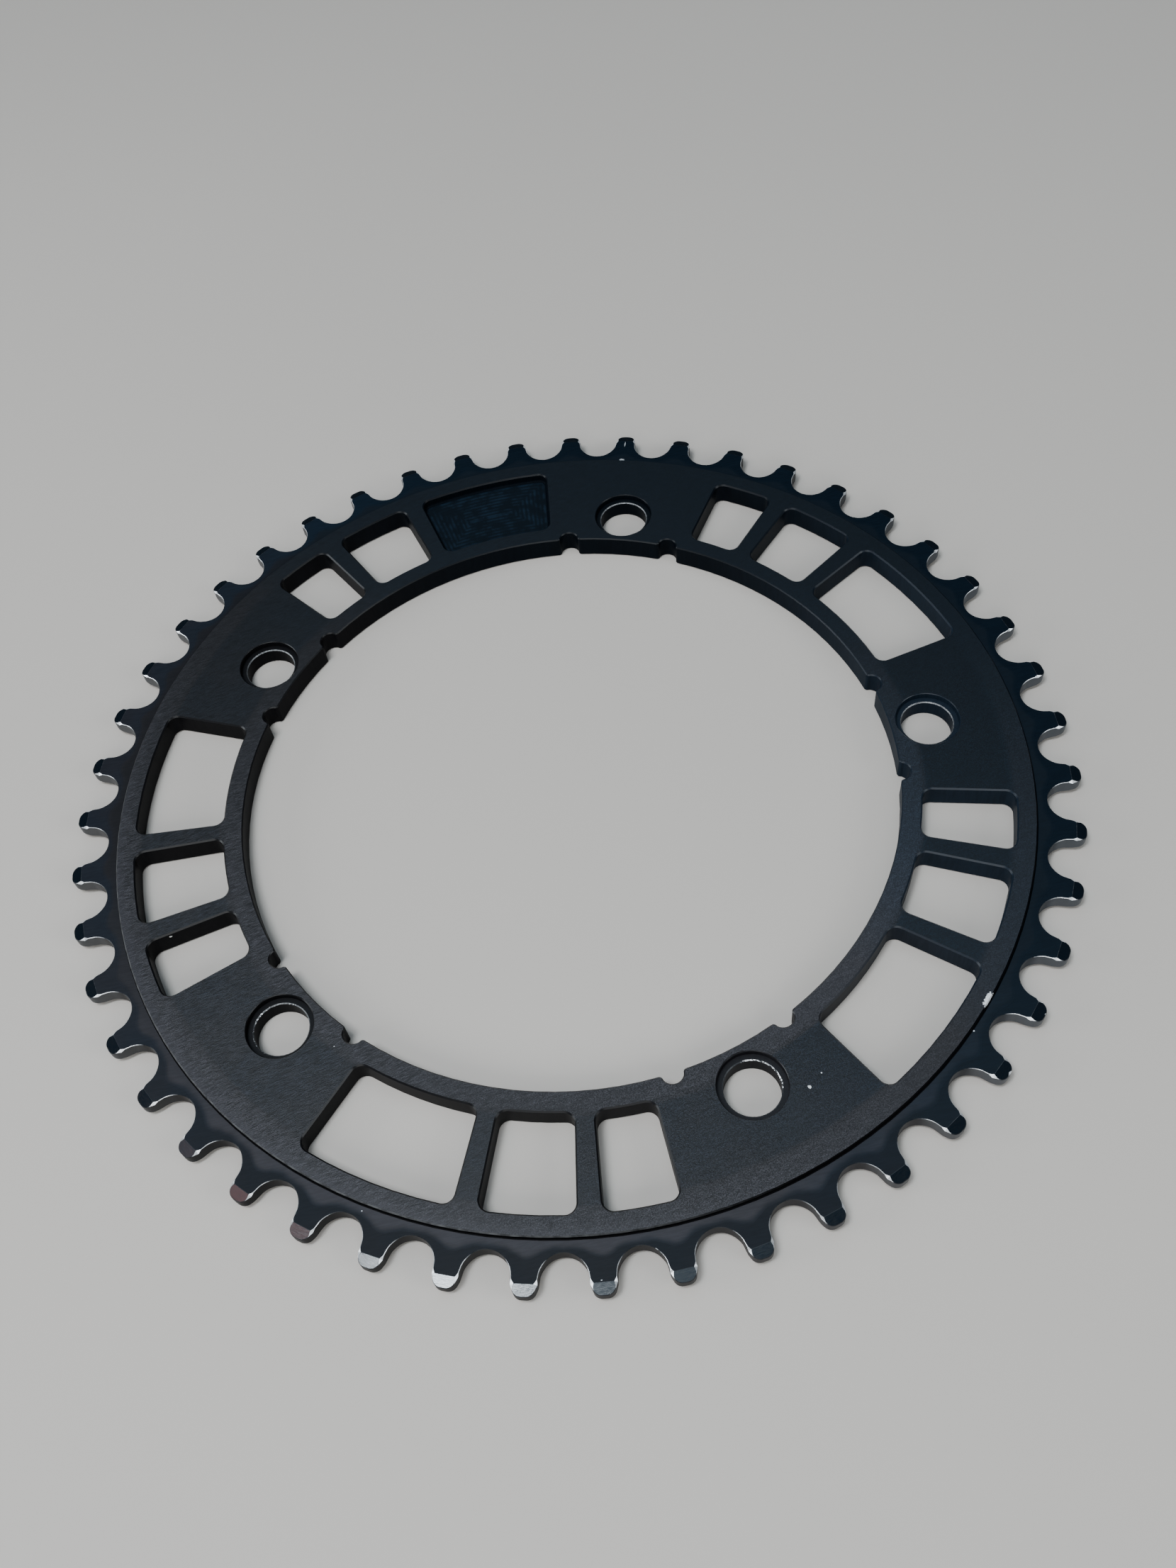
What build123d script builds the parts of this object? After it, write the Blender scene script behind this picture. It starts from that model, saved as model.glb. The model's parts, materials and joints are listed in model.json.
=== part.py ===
from build123d import *
import os
from math import cos, radians, sin, tan

# A five-bolt track chainring, machined from one aluminium plate.
# Millimetres. The axis of rotation is Z, the back face lies on Z = 0 and the outer face looks up.
# Angles run counter-clockwise, seen from above, and the first bolt hole is on +Y.

# Chain and teeth
teeth = 47
chain_pitch = 12.7              # half-inch chain
seat_depth = 3.52               # from the pitch circle in to the bottom of a roller seat
seat_radius = 4.05              # roller seat, a little larger than the chain's roller
tip_height = 3.48               # from the pitch circle out to the tip of a tooth
tip_corner_cut = 0.75           # cut off each corner of a tip, seen from above
flank_lean = 10.0               # degrees between a flank and the middle of its tooth
tooth_thickness = 3.0
tip_bevel_reach = 1.95          # radial reach of the bevel on each side of a tip
tip_bevel_angle = 15.0          # degrees
first_tooth_angle = 91.91       # middle of the tooth beside the first bolt hole

# Plate
plate_thickness = 5.0
shoulder_width = 2.15           # tooth band left between the plate's edge and the roller seats
rim_width = 3.68                # plate's edge to the windows
inner_rim_width = 3.83          # bore to the windows

# Bolts
bolt_count = 5
bolt_circle_diameter = 144.0
bolt_hole_diameter = 10.1
counterbore_diameter = 12.4
counterbore_depth = 1.4
bolt_to_bore = 7.53             # bolt circle in to the bore that sits on the crank's spider

# Relief notches in the bore, one on each side of a bolt hole
notch_radius = 2.0
notch_angle = 9.75              # degrees from the bolt hole

# Windows. Each sector between two bolts holds a wide, a middle and a narrow window.
tab_half_angle = 13.35          # degrees of plate left on each side of a bolt hole
strut_angle = 2.9               # degrees between neighbouring windows
middle_window_angle = 11.05
narrow_window_angle = 8.75
window_corner_radius = 2.0
pocket_depth = 2.0              # the wide window after the first bolt hole is a blind pocket

# Derived sizes
first_bolt_angle = 90.0
half_pitch = 180.0 / teeth
pitch_radius = chain_pitch / 2 / sin(radians(half_pitch))
root_radius = pitch_radius - seat_depth
tip_radius = pitch_radius + tip_height
shoulder_radius = root_radius - shoulder_width
bolt_circle_radius = bolt_circle_diameter / 2
bore_radius = bolt_circle_radius - bolt_to_bore
window_inner_radius = bore_radius + inner_rim_width
window_outer_radius = shoulder_radius - rim_width
tooth_low = (plate_thickness - tooth_thickness) / 2
tooth_high = tooth_low + tooth_thickness
sector_angle = 360.0 / bolt_count
wide_window_angle = (
    sector_angle - 2 * tab_half_angle - 2 * strut_angle - middle_window_angle - narrow_window_angle
)
cut_margin = plate_thickness    # how far cutting tools stand out of the plate
tooth_angles = [first_tooth_angle + index * 2 * half_pitch for index in range(teeth)]
bolt_angles = [first_bolt_angle + index * sector_angle for index in range(bolt_count)]


def polar(radius, angle):
    """Point at a radius and an angle in degrees."""
    return Vector(radius * cos(radians(angle)), radius * sin(radians(angle)))


def turned(point, angle):
    """The point turned about the ring's axis by an angle in degrees."""
    return point.rotate(Axis.Z, angle)


def mirrored(point):
    """The point's twin on the other flank of a tooth that lies along +X."""
    return Vector(point.X, -point.Y)


def tooth_points():
    """Key points of one flank of the tooth that lies along +X, from its roller seat to its tip."""
    seat_centre = polar(root_radius + seat_radius, half_pitch)
    outward = Vector(cos(radians(flank_lean)), -sin(radians(flank_lean)))
    away = Vector(sin(radians(flank_lean)), cos(radians(flank_lean)))
    flank_start = seat_centre - away * seat_radius
    corner = flank_start + outward * ((tip_radius - flank_start.X) / outward.X)
    flank_end = corner - outward * tip_corner_cut
    tip_end = corner - Vector(0, tip_corner_cut)
    return flank_start, flank_end, tip_end


def edge_through(points):
    """Straight edge through two points, or arc through three."""
    if len(points) == 2:
        return Edge.make_line(*points)
    return Edge.make_three_point_arc(*points)


def tooth_outline():
    """Face inside the closed outline of all teeth, seen from above."""
    flank_start, flank_end, tip_end = tooth_points()
    seat_bottom = polar(root_radius, half_pitch)
    next_flank_start = turned(mirrored(flank_start), 2 * half_pitch)
    one_tooth = (
        (mirrored(flank_start), mirrored(flank_end)),
        (mirrored(flank_end), mirrored(tip_end)),
        (mirrored(tip_end), tip_end),
        (tip_end, flank_end),
        (flank_end, flank_start),
        (flank_start, seat_bottom, next_flank_start),
    )
    edges = []
    for angle in tooth_angles:
        for points in one_tooth:
            edges.append(edge_through([turned(point, angle) for point in points]))
    return Face(Wire(edges))


def tip_bevels():
    """Cutting tools for the flat bevels on both sides of every tip."""
    bevel_start = tip_radius - tip_bevel_reach
    past_tip = tip_radius + tip_bevel_reach
    drop = (past_tip - bevel_start) * tan(radians(tip_bevel_angle))
    tools = []
    for face, inward in ((tooth_high, -drop), (tooth_low, drop)):
        with BuildSketch(Plane.XZ) as wedge:
            with BuildLine():
                Polyline((bevel_start, face), (past_tip, face), (past_tip, face + inward), close=True)
            make_face()
        tool = extrude(wedge.sketch, chain_pitch / 2, both=True)
        tools += [Rot(0, 0, angle) * tool for angle in tooth_angles]
    return tools


def tooth_band():
    """Toothed band of the ring."""
    return extrude(Pos(0, 0, tooth_low) * tooth_outline(), tooth_thickness) - tip_bevels()


def plate():
    """Plain disc inside the teeth."""
    return Cylinder(shoulder_radius, plate_thickness, align=(Align.CENTER, Align.CENTER, Align.MIN))


def window_outline(start_angle, span):
    """Window with radial sides between two arcs about the ring's axis, with rounded corners."""
    end_angle = start_angle + span
    middle_angle = start_angle + span / 2
    with BuildSketch() as outline:
        with BuildLine():
            inner = ThreePointArc(
                polar(window_inner_radius, start_angle),
                polar(window_inner_radius, middle_angle),
                polar(window_inner_radius, end_angle),
            )
            outer = ThreePointArc(
                polar(window_outer_radius, start_angle),
                polar(window_outer_radius, middle_angle),
                polar(window_outer_radius, end_angle),
            )
            Line(inner @ 0, outer @ 0)
            Line(inner @ 1, outer @ 1)
        make_face()
        fillet(outline.vertices(), window_corner_radius)
    return outline.sketch


def bore_outline():
    """Bore with a pair of half-round notches at every bolt hole."""
    with BuildSketch() as outline:
        Circle(bore_radius)
        for bolt_angle in bolt_angles:
            for side in (-1, 1):
                with Locations(polar(bore_radius, bolt_angle + side * notch_angle)):
                    Circle(notch_radius)
    return outline.sketch


def through_cut(outline):
    """Cutting tool that opens an outline right through the plate."""
    return extrude(Pos(0, 0, -cut_margin) * outline, plate_thickness + 2 * cut_margin)


def windows_and_pocket():
    """Cutting tools for all windows, and for the one blind pocket in the outer face."""
    spans = (wide_window_angle, middle_window_angle, narrow_window_angle)
    tools = []
    for bolt_angle in bolt_angles:
        start_angle = bolt_angle + tab_half_angle
        for span in spans:
            outline = window_outline(start_angle, span)
            if bolt_angle == first_bolt_angle and span == wide_window_angle:
                floor = plate_thickness - pocket_depth
                tools.append(extrude(Pos(0, 0, floor) * outline, pocket_depth + cut_margin))
            else:
                tools.append(through_cut(outline))
            start_angle += span + strut_angle
    return tools


def bolt_holes():
    """Cutting tools for the ring of bolt holes, each with a counterbore in the outer face."""
    ledge = plate_thickness - counterbore_depth
    hole = through_cut(Circle(bolt_hole_diameter / 2))
    counterbore = extrude(Pos(0, 0, ledge) * Circle(counterbore_diameter / 2), counterbore_depth + cut_margin)
    tool = hole + counterbore
    return [Pos(*polar(bolt_circle_radius, angle)) * tool for angle in bolt_angles]


def chainring():
    """The whole ring as one solid."""
    ring = plate() + tooth_band()
    return ring - through_cut(bore_outline()) - windows_and_pocket() - bolt_holes()


os.makedirs("parts", exist_ok=True)
part = chainring()
part.label = "chainring"
export_step(part, "parts/chainring.step")
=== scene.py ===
import json
from math import atan2, copysign, cos, hypot, pi, radians, sin, tan

import bmesh
import bpy
from bpy.props import FloatProperty, FloatVectorProperty, PointerProperty
from mathutils import Euler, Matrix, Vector


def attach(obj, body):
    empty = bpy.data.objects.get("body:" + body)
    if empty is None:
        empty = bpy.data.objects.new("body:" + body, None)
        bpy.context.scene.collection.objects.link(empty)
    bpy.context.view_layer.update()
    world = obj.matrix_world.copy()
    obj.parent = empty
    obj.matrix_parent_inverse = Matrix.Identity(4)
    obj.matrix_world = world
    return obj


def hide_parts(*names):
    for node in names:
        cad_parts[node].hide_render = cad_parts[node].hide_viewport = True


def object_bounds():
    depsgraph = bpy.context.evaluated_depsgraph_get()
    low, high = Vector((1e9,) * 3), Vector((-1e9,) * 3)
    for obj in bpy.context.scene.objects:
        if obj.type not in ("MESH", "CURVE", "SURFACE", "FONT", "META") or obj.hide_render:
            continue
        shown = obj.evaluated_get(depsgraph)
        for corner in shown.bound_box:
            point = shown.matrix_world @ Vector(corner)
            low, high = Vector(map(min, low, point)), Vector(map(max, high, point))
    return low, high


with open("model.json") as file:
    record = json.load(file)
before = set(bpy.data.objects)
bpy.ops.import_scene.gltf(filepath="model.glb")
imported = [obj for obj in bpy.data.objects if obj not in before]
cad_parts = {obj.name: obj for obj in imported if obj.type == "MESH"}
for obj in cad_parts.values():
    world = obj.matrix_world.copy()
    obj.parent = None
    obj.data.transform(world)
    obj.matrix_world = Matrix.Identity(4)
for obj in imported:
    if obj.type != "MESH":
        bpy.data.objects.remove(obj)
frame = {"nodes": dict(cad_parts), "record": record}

bl_info = {
    "name": "Chainring",
    "version": (1, 0, 0),
    "blender": (4, 5, 0),
    "location": "View3D > Sidebar > Chainring",
    "description": "Dresses a bicycle chainring with broken edges, worn teeth and a satin black finish",
    "category": "Add Mesh",
}

MM = 0.001
CAD_LOW, CAD_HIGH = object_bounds()
MOUNTS = {mount["name"]: mount["dims"] for mount in frame["record"]["mounts"]}

# Sizes of the machined ring, in metres and radians
BOLT_CIRCLE = MOUNTS["chainring_bolts"]["pcd_mm"] / 2 * MM
BOLT_COUNT = MOUNTS["chainring_bolts"]["count"]
BOLT_HOLE = MOUNTS["chainring_bolts"]["hole_r_mm"] * MM
BORE = MOUNTS["spider_bore"]["r_mm"] * MM
COUNTERBORE = 6.2 * MM
COUNTERBORE_DEPTH = 1.4 * MM
PLATE_TOP = CAD_HIGH.z
PLATE_MIDDLE = PLATE_TOP / 2
LEDGE = PLATE_TOP - COUNTERBORE_DEPTH
POCKET_FLOOR = PLATE_TOP - 2.0 * MM
POCKET_ANGLE = radians(113.2)
SHOULDER = 89.4 * MM
WINDOW_INNER = 68.3 * MM
WINDOW_OUTER = 85.72 * MM
NOTCH = 2.0 * MM
TEETH = 47
PITCH_TURN = 2 * pi / TEETH
FIRST_TOOTH = radians(91.91)
TOOTH_HALF = 1.5 * MM
BAND_TOP = PLATE_MIDDLE + TOOTH_HALF
TIP_TOP = 3.5 * MM
ROOT = 91.55 * MM
SEAT = 4.05 * MM
FLANK_LEAN = radians(10)
BEVEL_START = 96.6 * MM
BEVEL_ANGLE = radians(15)
PITCH_CIRCLE = 95.07 * MM

# Places in the frame of one tooth: out along its middle and across it
SEAT_OUT = (ROOT + SEAT) * cos(PITCH_TURN / 2)
SEAT_ACROSS = (ROOT + SEAT) * sin(PITCH_TURN / 2)
FLANK_OUT = SEAT_OUT - SEAT * sin(FLANK_LEAN)
FLANK_ACROSS = SEAT_ACROSS - SEAT * cos(FLANK_LEAN)

WARM_SHEEN_SIDE = (-0.6, -0.8, 0)    # direction towards which a warm reflection and pale edge highlights are painted
STEP_PAINTED_SHADE = 0.5                # share of the finish's colour that shows along the step, darkened as painted shade
WALL_ROUGHNESS = 0.4
EDGE_ROUGHNESS = 0.32
NEAR = 0.02 * MM                # two places closer than this are the same one
SHARP = radians(14)             # a fold over this angle shows as an edge

# Upright share of a face's normal: 1 on a level face and 0 on a wall
LEVEL_TILT = 0.999
LINE_TILT = 0.98
BEVEL_TILTS = (0.9, 0.99)
CHAMFER_TILT = 0.5
WALL_TILT = 0.05

# Finishes, in the order of the ring's material slots
FINISHES = ("satin_face", "tooth_band", "milled_wall", "flank_wall", "chamfer", "step_edge", "tip_facet",
            "worn_edge", "bolt_edge", "bolt_ledge", "pocket_floor")
WORN = (FINISHES.index("worn_edge"), FINISHES.index("bolt_edge"))

# Soft lights: name, place, size, power in watts, and colour
LIGHTS = (
    ("overhead", (-0.176, -0.26, 0.90), (0.188, 0.34), 6.5, (0.86, 0.94, 1.0)),
    ("ceiling", (-0.16, 0.08, 1.20), (1.40, 1.25), 5.2, (0.66, 0.85, 1.0)),
    ("warm_card", (-0.46, -0.20, 0.85), (0.21, 0.34), 0.38, (1.0, 0.34, 0.24)),
    ("front", (0.10, -0.95, 0.62), (0.90, 0.50), 4.5, (0.95, 0.98, 1.0)),
    ("left", (-0.95, -0.30, 0.28), (0.60, 0.40), 4.5, (0.88, 0.95, 1.0)),
    ("right", (0.90, -0.24, 0.50), (0.50, 0.40), 2.8, (0.88, 0.95, 1.0)),
)


# Settings

class ChainringSizes(bpy.types.PropertyGroup):
    """Sizes of the broken edges and of the wear."""

    edge_break: FloatProperty(
        name="Edge Break", description="Chamfer round the windows and the pocket",
        default=0.28 * MM, min=0.02 * MM, max=0.5 * MM, precision=5, unit="LENGTH")
    bore_break: FloatProperty(
        name="Bore Break", description="Chamfer round the bore and its notches",
        default=0.22 * MM, min=0.02 * MM, max=0.4 * MM, precision=5, unit="LENGTH")
    hole_break: FloatProperty(
        name="Hole Break", description="Chamfer round the bolt holes and counterbores",
        default=0.13 * MM, min=0.02 * MM, max=0.4 * MM, precision=5, unit="LENGTH")
    ledge_break: FloatProperty(
        name="Ledge Break", description="Worn edge of the ledge inside each counterbore",
        default=0.19 * MM, min=0.02 * MM, max=0.4 * MM, precision=5, unit="LENGTH")
    shoulder_break: FloatProperty(
        name="Shoulder Break", description="Chamfer along the step between the plate and the teeth",
        default=0.22 * MM, min=0.02 * MM, max=0.3 * MM, precision=5, unit="LENGTH")
    foot_fillet: FloatProperty(
        name="Foot Fillet", description="Fillet at the foot of the step between the plate and the teeth",
        default=0.26 * MM, min=0.02 * MM, max=0.5 * MM, precision=5, unit="LENGTH")
    pocket_fillet: FloatProperty(
        name="Pocket Fillet", description="Fillet round the floor of the blind pocket",
        default=0.45 * MM, min=0.05 * MM, max=0.8 * MM, precision=5, unit="LENGTH")
    mouth_rounding: FloatProperty(
        name="Mouth Rounding", description="Rounding where a notch opens into the bore",
        default=0.5 * MM, min=0.1 * MM, max=0.7 * MM, precision=5, unit="LENGTH")
    tip_rounding: FloatProperty(
        name="Tip Rounding", description="Rounding on each side of a tooth tip's cut corners",
        default=0.5 * MM, min=0.05 * MM, max=0.55 * MM, precision=5, unit="LENGTH")
    tooth_break: FloatProperty(
        name="Tooth Break", description="Chamfer along the edges of a tooth where it isn't worn",
        default=0.09 * MM, min=0.02 * MM, max=0.15 * MM, precision=5, unit="LENGTH")
    facet_line: FloatProperty(
        name="Facet Line", description="Half width of the burnished line where a tip's bevel starts",
        default=0.045 * MM, min=0.01 * MM, max=0.1 * MM, precision=5, unit="LENGTH")
    corner_length: FloatProperty(
        name="Corner Length", description="Reach of a bevel's worn corners along the flank, each way",
        default=0.7 * MM, min=0.2 * MM, max=1.1 * MM, precision=5, unit="LENGTH")
    corner_inset: FloatProperty(
        name="Corner Inset", description="Reach of a bevel's worn corners into the face of a tooth",
        default=0.42 * MM, min=0.1 * MM, max=0.7 * MM, precision=5, unit="LENGTH")
    corner_drop: FloatProperty(
        name="Corner Drop", description="Reach of a bevel's worn corners down the flank of a tooth",
        default=0.26 * MM, min=0.1 * MM, max=0.7 * MM, precision=5, unit="LENGTH")
    burr: FloatProperty(
        name="Burr", description="How far a bevel's worn corners stand out of the flank",
        default=0.13 * MM, min=0.0, max=0.2 * MM, precision=5, unit="LENGTH")
    roller_wear: FloatProperty(
        name="Roller Wear", description="How far the rollers have worn into the flanks",
        default=0.1 * MM, min=0.0, max=0.2 * MM, precision=5, unit="LENGTH")


class ChainringColours(bpy.types.PropertyGroup):
    """Colours of the ring and of the floor."""

    anodised: FloatVectorProperty(
        name="Anodised", description="Black anodised aluminium",
        default=(0.0022, 0.0052, 0.0091), size=3, min=0.0, max=1.0, subtype="COLOR")
    # the browner colour is a warmer tone, and also a painted warm reflection towards one side
    anodised_warm: FloatVectorProperty(
        name="Anodised, Warm", description="Browner side of the anodised finish",
        default=(0.0071, 0.0069, 0.0081), size=3, min=0.0, max=1.0, subtype="COLOR")
    bare_metal: FloatVectorProperty(
        name="Bare Metal", description="Aluminium where the finish is worn off",
        default=(0.91, 0.92, 0.93), size=3, min=0.0, max=1.0, subtype="COLOR")
    floor: FloatVectorProperty(
        name="Floor", description="Plain pale floor",
        default=(0.57, 0.52, 0.47), size=3, min=0.0, max=1.0, subtype="COLOR")


# Places on the ring

def radius_of(point):
    """Distance of a point from the ring's axis."""
    return hypot(point.x, point.y)


def polar(radius, angle):
    """Place in the plane at a radius and an angle."""
    return Vector((radius * cos(angle), radius * sin(angle), 0))


def bolt_place(point):
    """Centre of the bolt hole that is nearest to a point, seen from above."""
    turn = 2 * pi / BOLT_COUNT
    steps = round((atan2(point.y, point.x) - pi / 2) / turn)
    return polar(BOLT_CIRCLE, pi / 2 + steps * turn)


def bolt_distance(point):
    """Distance of a point from the axis of the nearest bolt hole."""
    centre = bolt_place(point)
    return hypot(point.x - centre.x, point.y - centre.y)


def tooth_place(point):
    """A point in the frame of its nearest tooth: out, across, and the tooth's number."""
    angle = atan2(point.y, point.x)
    number = round((angle - FIRST_TOOTH) / PITCH_TURN)
    beside = angle - FIRST_TOOTH - number * PITCH_TURN
    radius = radius_of(point)
    return radius * cos(beside), radius * sin(beside), number


def from_tooth(out, across, number, height):
    """The place in the ring's frame of a point in the frame of a tooth."""
    turn = FIRST_TOOTH + number * PITCH_TURN
    return Vector((out * cos(turn) - across * sin(turn), out * sin(turn) + across * cos(turn), height))


# Edges of the ring

def middle_of(edge):
    """Middle of an edge."""
    return (edge.verts[0].co + edge.verts[1].co) / 2


def folded(edge):
    """Whether an edge shows as a corner of the metal."""
    return edge.is_manifold and edge.calc_face_angle() > SHARP


def lies_at(edge, height):
    """Whether a whole edge lies at a height."""
    return all(abs(vert.co.z - height) < NEAR for vert in edge.verts)


def upright(edge):
    """Whether an edge runs along the ring's axis."""
    start, end = (vert.co for vert in edge.verts)
    return radius_of(end - start) < NEAR


def at_face(edge):
    """Whether an edge lies in the plate's outer or back face."""
    return lies_at(edge, PLATE_TOP) or lies_at(edge, 0)


def break_edges(mesh, edges, width, segments=1, finish=None):
    """Chamfers or rounds edges, and notes the finish of the new faces if it is known."""
    made = bmesh.ops.bevel(
        mesh, geom=edges, offset=width, offset_type="OFFSET", segments=segments, profile=0.5,
        affect="EDGES", material=-1, clamp_overlap=False, loop_slide=True)
    if finish:
        for face in made["faces"]:
            face.material_index = FINISHES.index(finish)


def merged_copy(node):
    """A node's triangles as one closed mesh with whole flat faces."""
    same_place, flat_fold = MM / 1000, radians(0.5)
    mesh = bmesh.new()
    mesh.from_mesh(node.data)
    bmesh.ops.remove_doubles(mesh, verts=mesh.verts, dist=same_place)
    bmesh.ops.dissolve_limit(mesh, angle_limit=flat_fold, verts=mesh.verts, edges=mesh.edges)
    return mesh


def round_corners(mesh, sizes):
    """Rounds the corners of the tooth tips and the mouths of the notches, seen from above."""
    tips = [edge for edge in mesh.edges
            if upright(edge) and folded(edge) and radius_of(middle_of(edge)) > BEVEL_START]
    break_edges(mesh, tips, sizes.tip_rounding, segments=3)
    mouths = [edge for edge in mesh.edges
              if upright(edge) and folded(edge) and abs(radius_of(middle_of(edge)) - BORE) < NEAR]
    places = [middle_of(edge) for edge in mouths]
    clear = sizes.mouth_rounding + 0.2 * MM
    beside = [edge for edge in mesh.edges if upright(edge) and edge not in mouths
              and any((middle_of(edge) - place).length < clear for place in places)]
    bmesh.ops.dissolve_edges(mesh, edges=beside, use_verts=True)
    mouths = [edge for edge in mesh.edges if upright(edge)
              and any((middle_of(edge) - place).length < NEAR for place in places)]
    break_edges(mesh, mouths, sizes.mouth_rounding, segments=6)


def break_plate_edges(mesh, sizes):
    """Chamfers the edges of the plate and of its openings."""
    def plate_edges(test):
        return [edge for edge in mesh.edges if at_face(edge) and folded(edge) and test(middle_of(edge))]

    def round_window(point):
        in_row = WINDOW_INNER - MM < radius_of(point) < WINDOW_OUTER + MM
        return in_row and bolt_distance(point) > COUNTERBORE + MM

    def round_bore(point):
        return radius_of(point) < BORE + NOTCH + NEAR

    def round_bolt(point):
        return bolt_distance(point) < COUNTERBORE + NEAR

    def along_shoulder(point):
        return abs(radius_of(point) - SHOULDER) < MM

    break_edges(mesh, plate_edges(round_window), sizes.edge_break)
    break_edges(mesh, plate_edges(round_bore), sizes.bore_break)
    break_edges(mesh, plate_edges(round_bolt), sizes.hole_break)
    break_edges(mesh, plate_edges(along_shoulder), sizes.shoulder_break, finish="step_edge")


def fill_feet(mesh, sizes):
    """Fillets the foot of the step on both sides of the teeth, and round the floor of the pocket."""
    feet = [edge for edge in mesh.edges
            if any(lies_at(edge, PLATE_MIDDLE + side * TOOTH_HALF) for side in (-1, 1))
            and folded(edge) and abs(radius_of(middle_of(edge)) - SHOULDER) < MM]
    break_edges(mesh, feet, sizes.foot_fillet, segments=2, finish="milled_wall")
    corners = [edge for edge in mesh.edges if lies_at(edge, POCKET_FLOOR) and folded(edge)]
    break_edges(mesh, corners, sizes.pocket_fillet, segments=3, finish="milled_wall")


def break_ledges(mesh, sizes):
    """Chamfers the hole's edge on the ledge inside each counterbore."""
    ledges = [edge for edge in mesh.edges if lies_at(edge, LEDGE) and folded(edge)
              and bolt_distance(middle_of(edge)) < BOLT_HOLE + NEAR]
    break_edges(mesh, ledges, sizes.ledge_break, finish="bolt_edge")


def break_teeth(mesh, sizes):
    """Burnishes the line where each bevel starts, and chamfers the edges along the teeth."""
    lines = [edge for edge in mesh.edges if on_bevel_line(edge)]
    break_edges(mesh, lines, sizes.facet_line, finish="worn_edge")
    outline = [edge for edge in mesh.edges
               if radius_of(middle_of(edge)) > ROOT - NEAR and edge.is_manifold
               and not upright(edge) and borders_wall(edge)]
    break_edges(mesh, outline, sizes.tooth_break, finish="worn_edge")


def on_bevel_line(edge):
    """Whether an edge is the line where a tip's bevel starts."""
    places = [tooth_place(vert.co) for vert in edge.verts]
    return all(abs(out - BEVEL_START) < NEAR for out, across, number in places) and not upright(edge)


def is_wall(face):
    """Whether a face stands upright."""
    return abs(face.normal.z) < WALL_TILT


def borders_wall(edge):
    """Whether an edge has an upright face on one side only."""
    first, second = edge.link_faces
    return is_wall(first) != is_wall(second)


# Wear, and the finish of each face

def crown(out):
    """Half the thickness of a tooth, at a distance out along it."""
    return TOOTH_HALF - max(0.0, out - BEVEL_START) * tan(BEVEL_ANGLE)


def towards_gullet(out, across):
    """Direction, in the frame of a tooth, from the tooth's middle out through its flank."""
    if out > FLANK_OUT:
        return Vector((sin(FLANK_LEAN), copysign(cos(FLANK_LEAN), across)))
    away = Vector((SEAT_OUT - out, copysign(SEAT_ACROSS, across) - across))
    return away.normalized()


def flank_inset(out, across):
    """Distance of a point of a tooth from its flank."""
    if out > FLANK_OUT:
        return (FLANK_ACROSS - abs(across)) * cos(FLANK_LEAN) - (out - FLANK_OUT) * sin(FLANK_LEAN)
    return hypot(SEAT_OUT - out, SEAT_ACROSS - abs(across)) - SEAT


def smooth_step(value, low, high):
    """Eases from 0 at one value to 1 at another."""
    share = min(1.0, max(0.0, (value - low) / (high - low)))
    return share * share * (3 - 2 * share)


def rise_and_fall(value, start, full, falling, end):
    """Eases from 0 up to 1, and down to 0 again."""
    return smooth_step(value, start, full) * (1 - smooth_step(value, falling, end))


def along_flank(edge):
    """Whether an edge runs out along the straight part of a flank."""
    places = [tooth_place(vert.co) for vert in edge.verts]
    return not upright(edge) and all(
        out > FLANK_OUT - NEAR and abs(flank_inset(out, across)) < NEAR for out, across, number in places)


def split_flanks(mesh, sizes):
    """Adds points to the straight edges of the flanks, where their wear changes."""
    half = sizes.corner_length / 2
    for stop in (BEVEL_START - 2 * half, BEVEL_START - half, BEVEL_START + half):
        for edge in [edge for edge in mesh.edges if along_flank(edge)]:
            start, end = (tooth_place(vert.co)[0] for vert in edge.verts)
            if min(start, end) + NEAR < stop < max(start, end) - NEAR:
                bmesh.utils.edge_split(edge, edge.verts[0], (stop - start) / (end - start))


def corner_share(out, number, sizes):
    """How far a bevel's corner is worn: most where the bevel starts, and not the same on each tooth."""
    unevenness = 1 + 0.25 * sin(2.4 * number) * sin(1.3 * number + 0.6)
    return max(0.0, 1 - abs(out - BEVEL_START) / sizes.corner_length) * unevenness


def flank_shift(out, corner, sizes):
    """How far wear has moved a flank out of its tooth: in where rollers press, and out in a burr above."""
    pressed = rise_and_fall(out, 93.0 * MM, 95.0 * MM, 95.3 * MM, 96.3 * MM)
    return sizes.burr * corner - sizes.roller_wear * pressed


def wear_flanks(mesh, sizes):
    """Hollows the flanks, and widens their chamfers at the corners of the bevels, as a chain does."""
    for vert in mesh.verts:
        out, across, number = tooth_place(vert.co)
        inset = flank_inset(out, across)
        if not ROOT < out < BEVEL_START + sizes.corner_length or inset > sizes.tooth_break + 2 * NEAR:
            continue
        above = vert.co.z - PLATE_MIDDLE
        drop = crown(out) - abs(above)
        corner = corner_share(out, number, sizes)
        shift = flank_shift(out, corner, sizes)
        if abs(drop) < NEAR and inset > NEAR:
            shift -= sizes.corner_inset * corner
        elif abs(drop - sizes.tooth_break) < 2 * NEAR:
            drop += sizes.corner_drop * corner
        outwards = towards_gullet(out, across) * shift
        out += outwards.x
        across += outwards.y
        vert.co = from_tooth(out, across, number, PLATE_MIDDLE + copysign(crown(out) - drop, above))


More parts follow.
